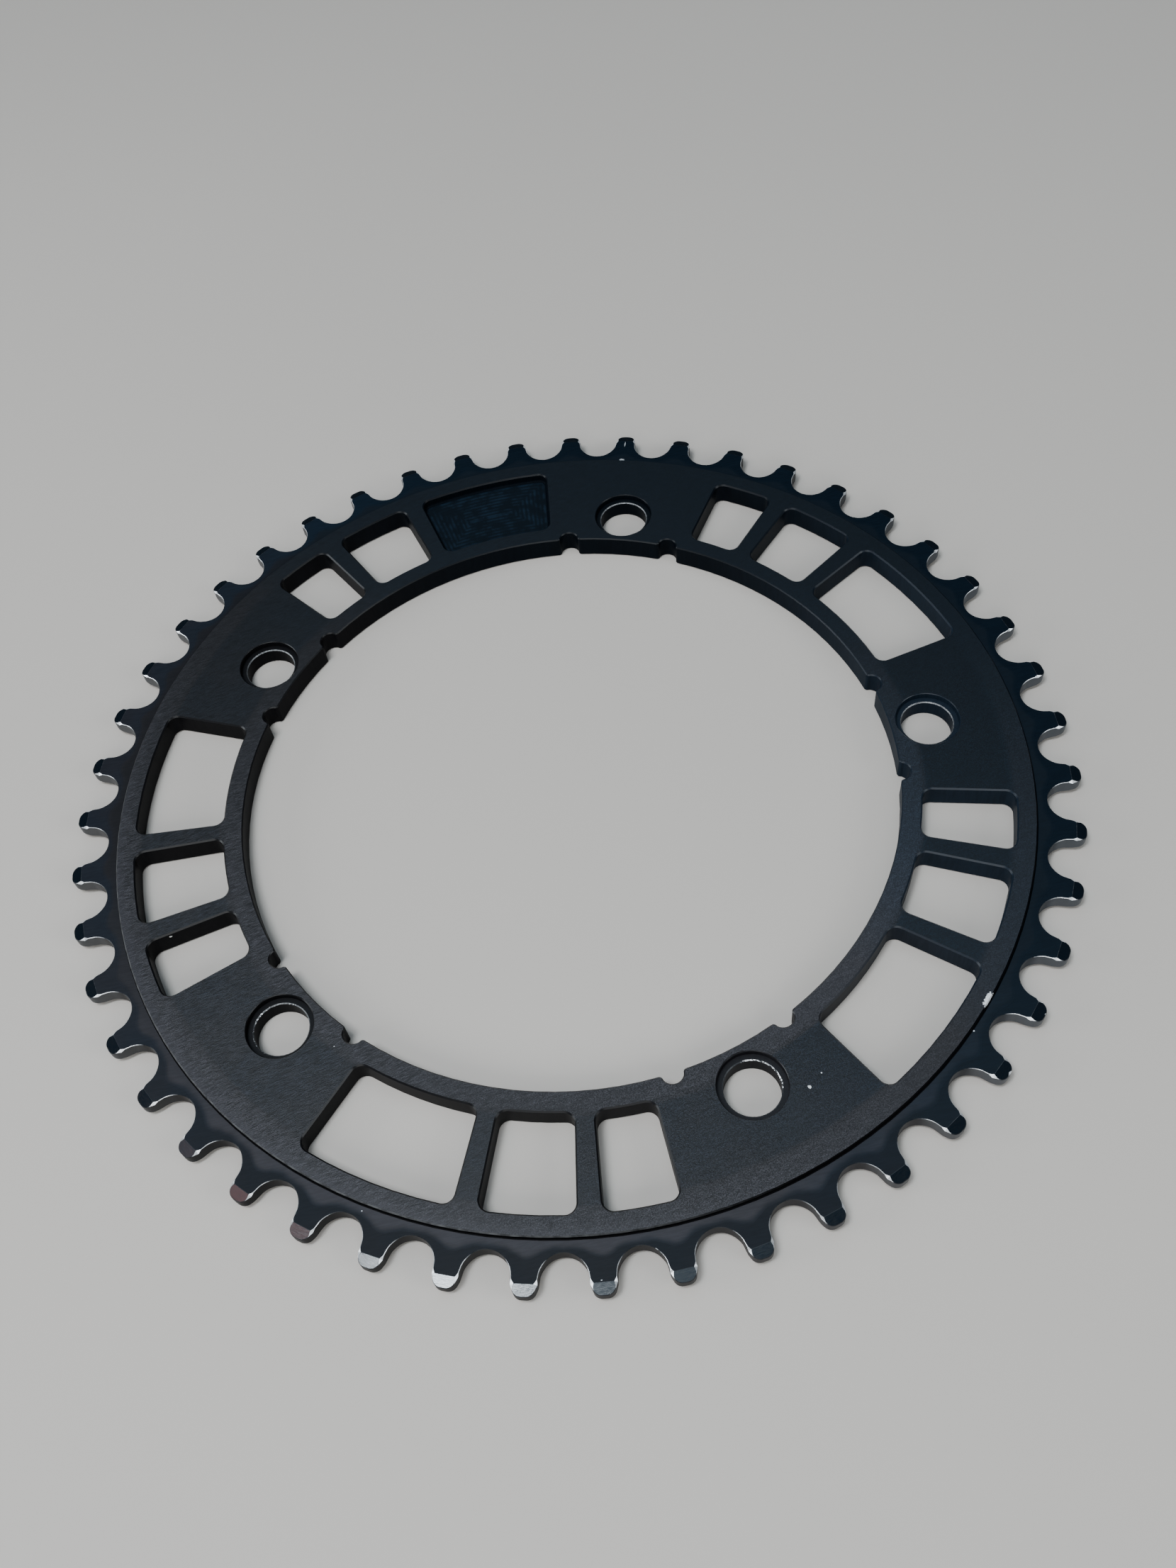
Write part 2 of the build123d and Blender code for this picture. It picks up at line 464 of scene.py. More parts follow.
def finish_of(face):
    """Number of the finish that a face has."""
    if face.material_index:
        return face.material_index
    height, tilt = face.calc_center_median().z, abs(face.normal.z)
    radius = max(radius_of(vert.co) for vert in face.verts)
    if tilt > LEVEL_TILT:
        if min(abs(height - PLATE_TOP), abs(height)) < NEAR:
            return FINISHES.index("satin_face")
        if abs(height - POCKET_FLOOR) < NEAR:
            return FINISHES.index("pocket_floor")
        if abs(height - LEDGE) < NEAR:
            return FINISHES.index("bolt_ledge")
        if radius > SHOULDER:
            return FINISHES.index("tooth_band")
    if radius > BEVEL_START and BEVEL_TILTS[0] < tilt < BEVEL_TILTS[1]:
        return FINISHES.index("tip_facet")
    if tilt > CHAMFER_TILT:
        return FINISHES.index("chamfer")
    return FINISHES.index("flank_wall" if radius > SHOULDER + MM else "milled_wall")


def shade_by_angle(mesh):
    """Smooth faces with sharp edges between them."""
    for face in mesh.faces:
        face.smooth = True
    for edge in mesh.edges:
        edge.smooth = not folded(edge)


def bolt_wear(point):
    """How far a bolt has polished the edge of its ledge at a point, and crumbled it, from 0 to 1; the
    polish grows towards each hole's far side as a painted highlight.
    """
    centre = bolt_place(point)
    off = point - centre
    on_far_side, on_left = centre.y > 0, centre.x < 0
    # painted highlight: brighter towards each hole's far side
    polished = 0.07 + 0.14 * smooth_step(off.y, -1.5 * MM, 4.5 * MM)
    if on_far_side:
        return polished, 0.0
    if on_left:
        return 0.7 * polished, 0.88 * (1 - smooth_step(off.x, 1.0 * MM, 4.0 * MM))
    return 0.03, smooth_step(off.y, -0.8 * MM, 0.8 * MM) * smooth_step(off.x, -3.6 * MM, -2.2 * MM)


def tooth_wear(point, tilt):
    """How far the chain has worn an edge of a tooth at a point, from 0 to 1; the line where a bevel starts
    is paler at the ring's sides as a painted highlight.
    """
    line_wear, edge_wear, corner_wear, flank_wear = 0.12, 0.2, 0.9, 0.42
    if tilt > LINE_TILT:
        # painted highlight: the bevel line paler at the ring's sides
        return line_wear + line_wear * smooth_step(abs(point.x), 45 * MM, 80 * MM)
    out, across, number = tooth_place(point)
    at_corner = 1 - smooth_step(abs(out - BEVEL_START), 0.5 * MM, 1.0 * MM)
    along = rise_and_fall(out, 92.2 * MM, 94.2 * MM, 97.2 * MM, 97.8 * MM)
    return edge_wear + max(corner_wear * at_corner, flank_wear * along)


def mark_wear(mesh):
    """Writes how worn the worn faces are, with their painted highlights, to an attribute of their corners,
    and keeps their edges sharp.
    """
    worn = mesh.loops.layers.float.new("wear")
    crumbled = mesh.loops.layers.float.new("crumbs")
    for face in mesh.faces:
        if face.material_index not in WORN:
            continue
        on_tooth = FINISHES[face.material_index] == "worn_edge"
        for loop in face.loops:
            point = loop.vert.co
            if on_tooth:
                loop[worn] = tooth_wear(point, abs(face.normal.z))
            else:
                loop[worn], loop[crumbled] = bolt_wear(point)
        for edge in face.edges:
            edge.smooth = False


# Shader nodes

def linked(tree, socket, value):
    """Sets an input to a value, or links it to another node's output."""
    if isinstance(value, bpy.types.NodeSocket):
        tree.links.new(value, socket)
    else:
        socket.default_value = value


def add_node(tree, kind, inputs=None, **settings):
    """A new node with its settings and its inputs, by name or by number."""
    node = tree.nodes.new(kind)
    for name, value in settings.items():
        setattr(node, name, value)
    for name, value in (inputs or {}).items():
        linked(tree, node.inputs[name], value)
    return node


def calculate(tree, operation, *values, clamp=False):
    """Output of a Math node."""
    inputs = dict(enumerate(values))
    return add_node(tree, "ShaderNodeMath", inputs, operation=operation, use_clamp=clamp).outputs[0]


def ramp(tree, value, low, high, start=0.0, end=1.0):
    """Output that eases from start to end as a value goes from low to high."""
    inputs = {"Value": value, "From Min": low, "From Max": high, "To Min": start, "To Max": end}
    node = add_node(tree, "ShaderNodeMapRange", inputs, interpolation_type="SMOOTHSTEP")
    return node.outputs["Result"]


def combine(tree, operation, *values):
    """Output of a chain of Math nodes that joins several values by one operation."""
    result = values[0]
    for value in values[1:]:
        result = calculate(tree, operation, result, value)
    return result


def product(tree, *values):
    """Output that is several values multiplied."""
    return combine(tree, "MULTIPLY", *values)


def largest(tree, *values):
    """Output that is the largest of several values."""
    return combine(tree, "MAXIMUM", *values)


def blend(tree, share, first, second):
    """Value between two, by a share."""
    return add_node(tree, "ShaderNodeMix", {0: share, 2: first, 3: second}).outputs[0]


def mix_colour(tree, share, first, second):
    """Colour between two, by a share."""
    return add_node(tree, "ShaderNodeMix", {0: share, 6: first, 7: second}, data_type="RGBA").outputs[2]


def scale_colour(tree, colour, factor):
    """Colour multiplied by a value."""
    node = add_node(tree, "ShaderNodeVectorMath", {0: colour, "Scale": factor}, operation="SCALE")
    return node.outputs[0]


def noise(tree, point, size, detail=2.0, roughness=0.5):
    """Cloudy values with blobs of a size in metres."""
    inputs = {"Vector": point, "Scale": 1 / size, "Detail": detail, "Roughness": roughness}
    return add_node(tree, "ShaderNodeTexNoise", inputs).outputs["Fac"]


def warm_sheen_side(tree, point):
    """How far a point lies towards the side where a warm reflection and pale edge highlights are painted.
    """
    node = add_node(tree, "ShaderNodeVectorMath", {0: point, 1: WARM_SHEEN_SIDE}, operation="DOT_PRODUCT")
    return node.outputs["Value"]


def opaque(colour):
    """A property's colour with full alpha."""
    return (*colour, 1.0)


# Node groups that the finishes share

def new_group(name, inputs, outputs):
    """An empty shader node group with named sockets, and its input and output nodes."""
    tree = bpy.data.node_groups.new(name, "ShaderNodeTree")
    for label, kind in inputs:
        tree.interface.new_socket(label, in_out="INPUT", socket_type=kind)
    for label, kind in outputs:
        tree.interface.new_socket(label, in_out="OUTPUT", socket_type=kind)
    return tree, tree.nodes.new("NodeGroupInput"), tree.nodes.new("NodeGroupOutput")


def flat_radius(tree, parts):
    """Distance from the ring's axis of a point that is split into its coordinates."""
    flat = add_node(tree, "ShaderNodeCombineXYZ", {"X": parts.outputs["X"], "Y": parts.outputs["Y"]})
    return add_node(tree, "ShaderNodeVectorMath", {0: flat.outputs[0]}, operation="LENGTH").outputs["Value"]


def ring_place_group():
    """Group: a point's radius and angle, and its share of a tooth pitch from the nearest tooth's middle."""
    tree, given, made = new_group(
        "Ring Place", [("Point", "NodeSocketVector")],
        [("Radius", "NodeSocketFloat"), ("Angle", "NodeSocketFloat"), ("Pitch Share", "NodeSocketFloat")])
    parts = add_node(tree, "ShaderNodeSeparateXYZ", {"Vector": given.outputs["Point"]})
    angle = calculate(tree, "ARCTAN2", parts.outputs["Y"], parts.outputs["X"])
    pitches = calculate(tree, "DIVIDE", calculate(tree, "SUBTRACT", angle, FIRST_TOOTH), PITCH_TURN)
    tree.links.new(flat_radius(tree, parts), made.inputs["Radius"])
    tree.links.new(angle, made.inputs["Angle"])
    tree.links.new(calculate(tree, "PINGPONG", pitches, 0.5), made.inputs["Pitch Share"])
    return tree


def strokes_group():
    """Group: short strokes of one direction, from 0 to 1."""
    tree, given, made = new_group(
        "Brushed Strokes",
        [("Point", "NodeSocketVector"), ("Direction", "NodeSocketFloat"),
         ("Length", "NodeSocketFloat"), ("Width", "NodeSocketFloat")],
        [("Strokes", "NodeSocketFloat")])
    back = product(tree, given.outputs["Direction"], -1.0)
    turned = add_node(tree, "ShaderNodeVectorRotate", {"Vector": given.outputs["Point"], "Angle": back},
                      rotation_type="Z_AXIS")
    along = calculate(tree, "DIVIDE", 1.0, given.outputs["Length"])
    across = calculate(tree, "DIVIDE", 1.0, given.outputs["Width"])
    stretch = add_node(tree, "ShaderNodeCombineXYZ", {"X": along, "Y": across, "Z": along})
    scaled = add_node(tree, "ShaderNodeVectorMath", {0: turned.outputs[0], 1: stretch.outputs[0]},
                      operation="MULTIPLY")
    inputs = {"Vector": scaled.outputs[0], "Scale": 1.0, "Detail": 3.0, "Roughness": 0.6}
    grain = add_node(tree, "ShaderNodeTexNoise", inputs)
    tree.links.new(ramp(tree, grain.outputs["Fac"], 0.28, 0.72), made.inputs["Strokes"])
    return tree


def mill_marks_group():
    """Group: faint upright marks of an end mill, from 0 to 1."""
    tree, given, made = new_group(
        "Mill Marks", [("Point", "NodeSocketVector")], [("Marks", "NodeSocketFloat")])
    width, height = 0.5, 6.0    # millimetres
    stretch = (1 / width, 1 / width, 1 / height)
    scaled = add_node(tree, "ShaderNodeVectorMath", {0: given.outputs["Point"], 1: stretch},
                      operation="MULTIPLY")
    tree.links.new(noise(tree, scaled.outputs[0], MM, detail=3.0), made.inputs["Marks"])
    return tree


def wall_painted_light_group():
    """Group: painted light on the walls: paler on the right, and painted shade along the step."""
    tree, given, made = new_group(
        "Wall Painted Light", [("Point", "NodeSocketVector")], [("Shade", "NodeSocketFloat")])
    parts = add_node(tree, "ShaderNodeSeparateXYZ", {"Vector": given.outputs["Point"]})
    off_step = calculate(tree, "ABSOLUTE", calculate(tree, "SUBTRACT", flat_radius(tree, parts), SHOULDER))
    # painted light: walls paler on the right
    greyer = ramp(tree, parts.outputs["X"], 15 * MM, 75 * MM, 1.0, 4.0)
    # painted shade along the step
    shade = blend(tree, ramp(tree, off_step, 0.3 * MM, 0.6 * MM), STEP_PAINTED_SHADE, greyer)
    tree.links.new(shade, made.inputs["Shade"])
    return tree


def flecks_group():
    """Group: fine flecks of a worn edge, from 0 to 1."""
    tree, given, made = new_group(
        "Flecks", [("Point", "NodeSocketVector")], [("Flecks", "NodeSocketFloat")])
    flecks = noise(tree, given.outputs["Point"], 0.3 * MM, detail=3.0, roughness=0.6)
    tree.links.new(flecks, made.inputs["Flecks"])
    return tree


def chip_group():
    """Group: ragged spot of bare metal at a place, from 0 to 1."""
    tree, given, made = new_group(
        "Chip",
        [("Point", "NodeSocketVector"), ("Place", "NodeSocketVector"), ("Half Length", "NodeSocketFloat"),
         ("Half Width", "NodeSocketFloat"), ("Turn", "NodeSocketFloat")],
        [("Chip", "NodeSocketFloat")])
    off = add_node(tree, "ShaderNodeVectorMath", {0: given.outputs["Point"], 1: given.outputs["Place"]},
                   operation="SUBTRACT")
    back = product(tree, given.outputs["Turn"], -1.0)
    turned = add_node(tree, "ShaderNodeVectorRotate", {"Vector": off.outputs[0], "Angle": back},
                      rotation_type="Z_AXIS")
    parts = add_node(tree, "ShaderNodeSeparateXYZ", {"Vector": turned.outputs[0]})
    along = calculate(tree, "DIVIDE", parts.outputs["X"], given.outputs["Half Length"])
    across = calculate(tree, "DIVIDE", parts.outputs["Y"], given.outputs["Half Width"])
    deep = calculate(tree, "DIVIDE", parts.outputs["Z"], given.outputs["Half Width"])
    reach = add_node(tree, "ShaderNodeCombineXYZ", {"X": along, "Y": across, "Z": deep})
    distance = add_node(tree, "ShaderNodeVectorMath", {0: reach.outputs[0]}, operation="LENGTH")
    raggedness, outside, inside = 2.2, 2.12, 2.02
    ragged = noise(tree, given.outputs["Point"], 0.3 * MM, detail=4.0, roughness=0.65)
    edge = calculate(tree, "ADD", distance.outputs["Value"], product(tree, ragged, raggedness))
    tree.links.new(ramp(tree, edge, outside, inside), made.inputs["Chip"])
    return tree


def anodised_group(colours):
    """Group: the anodised finish's colour, scaled by a grain. Warmth turns it browner, most on one side,
    where the brown is a painted warm reflection broken up by clouds.
    """
    tree, given, made = new_group(
        "Anodised",
        [("Point", "NodeSocketVector"), ("Warmth", "NodeSocketFloat"), ("Grain", "NodeSocketFloat")],
        [("Colour", "NodeSocketColor")])
    point, warmth = given.outputs["Point"], given.outputs["Warmth"]
    # painted warm reflection, strongest towards one side
    side = ramp(tree, warm_sheen_side(tree, point), -40 * MM, 50 * MM)
    cloud = ramp(tree, noise(tree, point, 9 * MM, detail=4.0), 0.3, 0.7, 0.8, 1.1)
    spread = 0.35
    everywhere = calculate(tree, "MULTIPLY_ADD", warmth, spread, -spread)
    warm = calculate(tree, "ADD", product(tree, side, cloud, warmth), everywhere, clamp=True)
    colour = mix_colour(tree, warm, opaque(colours.anodised), opaque(colours.anodised_warm))
    tree.links.new(scale_colour(tree, colour, given.outputs["Grain"]), made.inputs["Colour"])
    return tree


def worn_metal_group(colours):
    """Group: bare metal where a mask is 1, and a finish's own colour and roughness where it is 0."""
    tree, given, made = new_group(
        "Worn Metal",
        [("Bare", "NodeSocketFloat"), ("Colour", "NodeSocketColor"), ("Roughness", "NodeSocketFloat"),
         ("Shine", "NodeSocketFloat")],
        [("Colour", "NodeSocketColor"), ("Metallic", "NodeSocketFloat"), ("Roughness", "NodeSocketFloat")])
    metal_roughness = 0.34
    bare = given.outputs["Bare"]
    colour = mix_colour(tree, bare, given.outputs["Colour"], opaque(colours.bare_metal))
    tree.links.new(colour, made.inputs["Colour"])
    tree.links.new(product(tree, bare, given.outputs["Shine"]), made.inputs["Metallic"])
    roughness = blend(tree, bare, given.outputs["Roughness"], metal_roughness)
    tree.links.new(roughness, made.inputs["Roughness"])
    return tree


# Finishes of the ring

class Finish:
    """A material with a Principled shader, and the groups that its nodes share."""

    def __init__(self, name, groups):
        self.material = bpy.data.materials.new(name)
        self.material.use_nodes = True
        self.tree = self.material.node_tree
        self.shader = self.tree.nodes["Principled BSDF"]
        self.groups = groups
        self.point = self.tree.nodes.new("ShaderNodeTexCoord").outputs["Object"]

    def set(self, socket, value):
        """Sets an input of the shader."""
        linked(self.tree, self.shader.inputs[socket], value)

    def along(self, axis):
        """How far this material's point lies along an axis."""
        return add_node(self.tree, "ShaderNodeSeparateXYZ", {"Vector": self.point}).outputs[axis]

    def place(self, group, **inputs):
        """Places a shared group on this material's point."""
        named = {name.replace("_", " ").title(): value for name, value in inputs.items()}
        return add_node(self.tree, "ShaderNodeGroup", {"Point": self.point, **named},
                        node_tree=self.groups[group])

    def radius(self):
        """Distance of this material's point from the ring's axis."""
        return self.place("ring_place").outputs["Radius"]

    def strokes(self, turn, length, width, **more):
        """Short strokes that run at an angle in degrees, from 0 to 1."""
        placed = self.place("strokes", direction=radians(turn), length=length, width=width, **more)
        return placed.outputs["Strokes"]

    def anodised(self, warmth, grain):
        """Colour of the anodised finish."""
        return self.place("anodised", warmth=warmth, grain=grain).outputs["Colour"]

    def chips(self, spots):
        """Largest of the chips at some places: angle, radius, height, half length, half width, turn."""
        masks = []
        for angle, radius, height, half_length, half_width, turn in spots:
            place = polar(radius * MM, radians(angle))
            place.z = height
            chip = self.place("chip", place=place, half_length=half_length * MM, half_width=half_width * MM,
                              turn=radians(angle + turn))
            masks.append(chip.outputs["Chip"])
        return largest(self.tree, *masks)

    def wear_off(self, bare, colour, roughness, shine=0.7):
        """Shows bare metal where a mask is 1, and the finish's own colour and roughness where it is 0."""
        inputs = {"Bare": bare, "Colour": colour, "Roughness": roughness, "Shine": shine}
        worn = add_node(self.tree, "ShaderNodeGroup", inputs, node_tree=self.groups["worn_metal"])
        self.set("Base Color", worn.outputs["Colour"])
        self.set("Metallic", worn.outputs["Metallic"])
        self.set("Roughness", worn.outputs["Roughness"])

    def bump(self, height, strength, distance):
        """Raises the surface where a height is large."""
        inputs = {"Strength": strength, "Distance": distance, "Height": height}
        self.set("Normal", add_node(self.tree, "ShaderNodeBump", inputs).outputs["Normal"])


def brushed(finish):
    """Strokes of the plate's faces, from 0 to 1: longer on the left, short and crossed on the right."""
    tree = finish.tree

    def crossed(first, second, length):
        width = 0.15 * MM
        return largest(tree, finish.strokes(first, length, width), finish.strokes(second, length, width))

    on_right = ramp(tree, finish.along("X"), -35 * MM, 35 * MM)
    return blend(tree, on_right, crossed(24, 44, 1.8 * MM), crossed(5, 70, 0.34 * MM))


def rim_sheen(finish):
    """How far the plate's rims are painted paler on the near side, as painted sheen: most at the outer edge
    and the inner right.
    """
    tree = finish.tree
    radius = finish.radius()
    inner_right = ramp(tree, finish.along("X"), 20 * MM, 65 * MM, 1.0, 2.4)
    inner = product(tree, ramp(tree, radius, WINDOW_INNER + 1.5 * MM, WINDOW_INNER - MM), inner_right)
    outer = ramp(tree, radius, WINDOW_OUTER - 2.0 * MM, WINDOW_OUTER + 0.5 * MM)
    # pale painted highlight along the outer rim, on the warm sheen side
    side = ramp(tree, warm_sheen_side(tree, finish.point), 0.0, 80 * MM, 0.0, 1.5)
    edge = product(tree, ramp(tree, radius, SHOULDER - 2.6 * MM, SHOULDER), side)
    rims = largest(tree, inner, calculate(tree, "ADD", outer, edge))
    return product(tree, rims, ramp(tree, finish.along("Y"), 70 * MM, -10 * MM))


def satin_face(finish):
    """Plate's faces: satin, with fine short strokes, painted sheen on the rims, painted shade towards the
    far side, and chipped in a few places.
    """
    tree = finish.tree
    x, y = finish.along("X"), finish.along("Y")
    strokes = brushed(finish)
    specks = ramp(tree, noise(tree, finish.point, 0.2 * MM), 0.3, 0.7, 0.5, 1.5)
    scuffs = ramp(tree, finish.strokes(30, 2.6 * MM, 0.5 * MM), 0.0, 1.0, 0.8, 1.25)
    marks = product(tree, ramp(tree, strokes, 0.35, 1.0, 0.5, 2.9), specks, scuffs)
    plain_grain = 1.3
    rims = rim_sheen(finish)
    far = ramp(tree, y, -40 * MM, 50 * MM, 0.0, 0.7)
    right = ramp(tree, x, 35 * MM, 80 * MM, 0.0, 0.55)
    plain = largest(tree, far, right, ramp(tree, rims, 1.0, 2.2, 0.0, 0.5))
    # painted sheen on the rims, paler and browner; painted shade towards the far side
    paler = calculate(tree, "MULTIPLY_ADD", rims, 0.7, 1.0)
    far_painted_shade = ramp(tree, y, -70 * MM, 40 * MM, 1.1, 0.7)
    warmth = ramp(tree, rims, 0.0, 1.0, 0.85, 2.2)
    grain = product(tree, blend(tree, plain, marks, plain_grain), paler, far_painted_shade)
    chips = finish.chips((
        (335.3, 88.95, PLATE_TOP, 1.35, 0.42, 90),
        (312.1, 77.3, PLATE_TOP, 0.3, 0.26, 0),
        (314.5, 76.5, PLATE_TOP, 0.12, 0.12, 0),
        (14.1, 89.3, PLATE_TOP, 0.14, 0.14, 0),
        (242.7, 68.4, PLATE_TOP, 0.12, 0.07, 40),
    ))
    roughness = ramp(tree, strokes, 0.0, 1.0, 0.43, 0.49)
    finish.wear_off(chips, finish.anodised(warmth, grain), roughness, shine=0.25)
    finish.set("Specular IOR Level", 0.35)
    patches = ramp(tree, noise(tree, finish.point, 4 * MM), 0.3, 0.7, 0.5, 1.0)
    height = product(tree, strokes, patches, calculate(tree, "SUBTRACT", 1.0, plain))
    finish.bump(height, strength=1.0, distance=0.026 * MM)


def tooth_band(finish):
    """Faces of the teeth: smooth and dark where chain plates rub, duller and browner inside that track;
    painted light makes them paler towards the near side, and the rubbed track paler on the left.
    """
    tree = finish.tree
    place = finish.place("ring_place")
    track_start, track_scallop, track_waver = 90.7 * MM, 1.5 * MM, 0.7 * MM
    scallop_power = 2.3
    turn = calculate(tree, "COSINE", product(tree, place.outputs["Pitch Share"], 2 * pi))
    to_tooth = calculate(tree, "MULTIPLY_ADD", turn, 0.5, 0.5, clamp=True)
    scallop = product(tree, calculate(tree, "POWER", to_tooth, scallop_power), track_scallop)
    ragged = calculate(tree, "SUBTRACT", noise(tree, finish.point, 3 * MM), 0.5)
    track = combine(tree, "ADD", scallop, product(tree, ragged, track_waver), track_start)
    rubbed = ramp(tree, calculate(tree, "SUBTRACT", place.outputs["Radius"], track), -0.9 * MM, 0.8 * MM)
    strokes = finish.strokes(20, 2.5 * MM, 0.3 * MM)
    # painted light: paler towards the near side, and the rubbed track paler on the left
    dull = ramp(tree, finish.along("Y"), -95 * MM, -20 * MM, 4.6, 1.4)
    dark = ramp(tree, finish.along("X"), -30 * MM, -80 * MM, 1.4, 2.4)
    grain = product(tree, blend(tree, rubbed, dull, dark), ramp(tree, strokes, 0.0, 1.0, 0.9, 1.1))
    chips = finish.chips((
        (331.3, 89.75, BAND_TOP, 0.13, 0.13, 0),
        (257.7, 90.4, BAND_TOP, 0.13, 0.1, 0),
        (283.2, 96.25, BAND_TOP, 0.12, 0.07, 90),
        (92.05, 90.4, BAND_TOP, 0.6, 0.28, 90),
        (91.95, 95.6, BAND_TOP, 0.75, 0.12, 0),
    ))
    warmth = ramp(tree, rubbed, 0.0, 1.0, 1.1, 0.8)
    roughness = ramp(tree, rubbed, 0.0, 1.0, 0.46, 0.27)
    finish.wear_off(chips, finish.anodised(warmth, grain), roughness)
    finish.set("Specular IOR Level", 0.18)
    finish.bump(strokes, strength=0.12, distance=0.01 * MM)


def milled(finish, shade):
    """Colour of metal with the faint upright marks of an end mill, which are also raised a little."""
    tree = finish.tree
    warmth = 1.6
    marks = finish.place("mill_marks").outputs["Marks"]
    finish.bump(marks, strength=0.1, distance=0.01 * MM)
    return finish.anodised(warmth, product(tree, ramp(tree, marks, 0.3, 0.7, 0.6, 0.75), shade))


def painted_light_wall(finish):
    """Colour of milled metal with the walls' painted light: paler on the right, and painted shade along the
    step.
    """
    return milled(finish, finish.place("wall_painted_light").outputs["Shade"])


def milled_wall(finish):
    """Walls: dull and nearly black, and chipped in two places."""
    chips = finish.chips((
        (335.3, 89.4, PLATE_TOP - 0.3 * MM, 1.2, 0.3, 90),
        (211.9, 81.0, PLATE_TOP - MM, 0.25, 0.22, 0),
    ))
    finish.wear_off(chips, painted_light_wall(finish), WALL_ROUGHNESS)
    finish.set("Specular IOR Level", 0.025)


def flank_wall(finish):
    """Walls of the teeth: rubbed smooth by the chain's rollers; the flanks at the ring's sides are paler,
    as worn metal and painted sheen.
    """
    tree = finish.tree
    flanks = ramp(tree, finish.radius(), 92.0 * MM, 94.0 * MM)
    # painted sheen: bare metal on the flanks only at the ring's sides
    sides = ramp(tree, calculate(tree, "ABSOLUTE", finish.along("X")), 40 * MM, 85 * MM, 0.0, 0.08)
    roughness = 0.36
    finish.wear_off(product(tree, flanks, sides), painted_light_wall(finish), roughness)
    finish.set("Specular IOR Level", 0.05)


def bolt_ledge(finish):
    """Ledges that the bolts sit on: a little glossier than the walls."""
    finish.set("Base Color", painted_light_wall(finish))
    finish.set("Roughness", WALL_ROUGHNESS)
    finish.set("Specular IOR Level", 0.18)


def chamfer(finish):
    """Chamfers of the plate: glossier than its walls."""
    finish.set("Base Color", painted_light_wall(finish))
    finish.set("Roughness", EDGE_ROUGHNESS)
    finish.set("Specular IOR Level", 0.3)


def step_edge(finish):
    """Chamfer along the step: black as painted shade, with a pale broken line on one side as a painted
    highlight.
    """
    tree = finish.tree
    side = ramp(tree, warm_sheen_side(tree, finish.point), 25 * MM, 80 * MM)
    blotches = noise(tree, finish.point, 1.6 * MM, detail=4.0, roughness=0.6)
    # painted highlight: pale blotches along the step on the warm sheen side
    rubbed = product(tree, side, ramp(tree, blotches, 0.3, 0.7, 0.04, 0.115))
    chips = finish.chips(((335.3, 89.3, PLATE_TOP, 1.5, 0.4, 90),))
    finish.wear_off(largest(tree, chips, rubbed), milled(finish, STEP_PAINTED_SHADE), EDGE_ROUGHNESS)
    finish.set("Specular IOR Level", 0.025)


def tip_facet(finish):
    """Bevels of the tips: glossy, with fine marks of the cutter round the ring."""
    tree = finish.tree
    place = finish.place("ring_place")
    around = product(tree, place.outputs["Angle"], PITCH_CIRCLE)
    unrolled = add_node(tree, "ShaderNodeCombineXYZ", {"X": around, "Y": place.outputs["Radius"]})
    strokes = finish.strokes(0, 0.9 * MM, 0.2 * MM, point=unrolled.outputs[0])
    chips = finish.chips((
        (329.6, 98.5, TIP_TOP, 0.4, 0.24, 90),
        (337.2, 98.5, TIP_TOP, 0.2, 0.12, 90),
    ))
    warmth = 0.3
    grain = ramp(tree, strokes, 0.0, 1.0, 0.8, 1.2)
    roughness = ramp(tree, strokes, 0.0, 1.0, 0.22, 0.14)
    finish.wear_off(chips, finish.anodised(warmth, grain), roughness)
    finish.set("Specular IOR Level", 0.85)
    finish.bump(strokes, strength=0.45, distance=0.008 * MM)


def wear_inputs(finish):
    """The wear written to the mesh, with its painted highlights, and fine flecks."""
    wear = add_node(finish.tree, "ShaderNodeAttribute", attribute_name="wear").outputs["Fac"]
    return wear, finish.place("flecks").outputs["Flecks"]


def wear_edge_off(finish, bare):
    """Shows bare metal on a worn edge where a mask is 1, and the finish where it is 0."""
    warmth, grain = 0.5, 1.0
    finish.wear_off(bare, finish.anodised(warmth, grain), EDGE_ROUGHNESS)


def worn_edge(finish):
    """Edges of the teeth, which the chain polishes down to bare metal; the bevel line is paler at the
    ring's sides as a painted highlight.
    """
    tree = finish.tree
    wear, flecks = wear_inputs(finish)
    polished = product(tree, wear, calculate(tree, "ADD", flecks, 0.5))
    nicks = finish.chips((
        (329.6, 98.5, TIP_TOP, 0.45, 0.3, 90),
        (288.9, 92.6, BAND_TOP, 0.3, 0.2, 0),
        (283.0, 93.0, BAND_TOP, 0.25, 0.2, 0),
    ))
    wear_edge_off(finish, largest(tree, ramp(tree, polished, 0.2, 0.75), nicks))
    finish.bump(flecks, strength=0.3, distance=0.02 * MM)


def bolt_edge(finish):
    """Edges of the bolts' ledges, polished or crumbled down to bare metal, with a painted highlight towards
    each hole's far side.
    """
    tree = finish.tree
    wear, flecks = wear_inputs(finish)
    polished = product(tree, wear, ramp(tree, flecks, 0.3, 0.7, 0.35, 1.7))
    crumbs = add_node(tree, "ShaderNodeAttribute", attribute_name="crumbs").outputs["Fac"]
    lumps = noise(tree, finish.point, 0.34 * MM)
    crumbled = ramp(tree, calculate(tree, "ADD", crumbs, lumps), 1.46, 1.52)
    wear_edge_off(finish, largest(tree, polished, crumbled))
    finish.bump(flecks, strength=0.5, distance=0.05 * MM)


